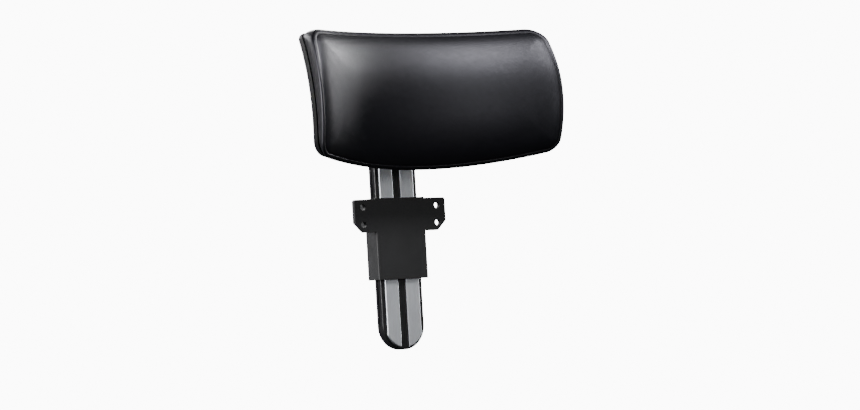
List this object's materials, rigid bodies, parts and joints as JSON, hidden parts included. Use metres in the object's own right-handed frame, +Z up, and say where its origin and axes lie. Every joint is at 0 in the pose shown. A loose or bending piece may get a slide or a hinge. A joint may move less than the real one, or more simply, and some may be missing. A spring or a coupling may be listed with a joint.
{
  "type": "chair headrest attachment",
  "caption": "Padded headrest for an office chair: a curved leather pad tilts on a flat stem that slides up and down in a receiver bolted behind the backrest.",
  "frame": {"origin": "centre of the receiver's four-hole pattern, on the flange's front mating face", "axes": "+Z up along the stem, -Y forwards to the person sitting, +X to that person's left"},
  "size_m": [0.2906, 0.1261, 0.3254],
  "materials": {
    "stem_plastic": "satin",
    "satin_metal": "satin",
    "receiver_plastic": "matte",
    "shell_plastic": "satin",
    "black_leather": "satin",
    "foam": "matte",
    "plywood": "matte",
    "guide_plastic": "satin",
    "bracket_steel": "satin",
    "dark_steel": "satin",
    "bright_steel": "satin",
    "spring_steel": "satin"
  },
  "bodies": {
    "receiver": {"receiver_housing": "receiver_plastic", "receiver_back_cover": "receiver_plastic", "cover_screws": "dark_steel", "upper_guide_liner": "guide_plastic", "lower_guide_liner": "guide_plastic", "detent_leaf_spring": "spring_steel", "leaf_spring_rivets": "bright_steel", "stop_pin": "dark_steel"},
    "stem": {"stem_bar": "stem_plastic", "left_trim_bar": "satin_metal", "right_trim_bar": "satin_metal", "trim_bar_rivets": "bright_steel", "left_hinge_bush": "guide_plastic", "right_hinge_bush": "guide_plastic"},
    "pad": {"hinge_bracket": "bracket_steel", "hinge_axle": "dark_steel", "axle_nut": "bright_steel", "disc_springs": "spring_steel", "friction_washers": "bright_steel", "left_hinge_cap": "stem_plastic", "right_hinge_cap": "stem_plastic", "rear_shell": "shell_plastic", "carrier_board": "plywood", "bracket_bolts": "dark_steel", "tee_nuts": "bright_steel", "shell_screws": "dark_steel", "foam_core": "foam", "side_band_cover": "black_leather", "front_panel_cover": "black_leather"}
  },
  "joints": [
    {"name": "height_slide", "type": "slide", "parent": "receiver", "child": "stem", "axis": [0, 0, 1], "range_m": [0, 0.06], "deforming": ["detent_leaf_spring"]},
    {"name": "pad_tilt", "type": "hinge", "parent": "stem", "child": "pad", "pos_m": [0, -0.007, 0.112], "axis": [1, 0, 0], "range_deg": [-20, 18]}
  ]
}
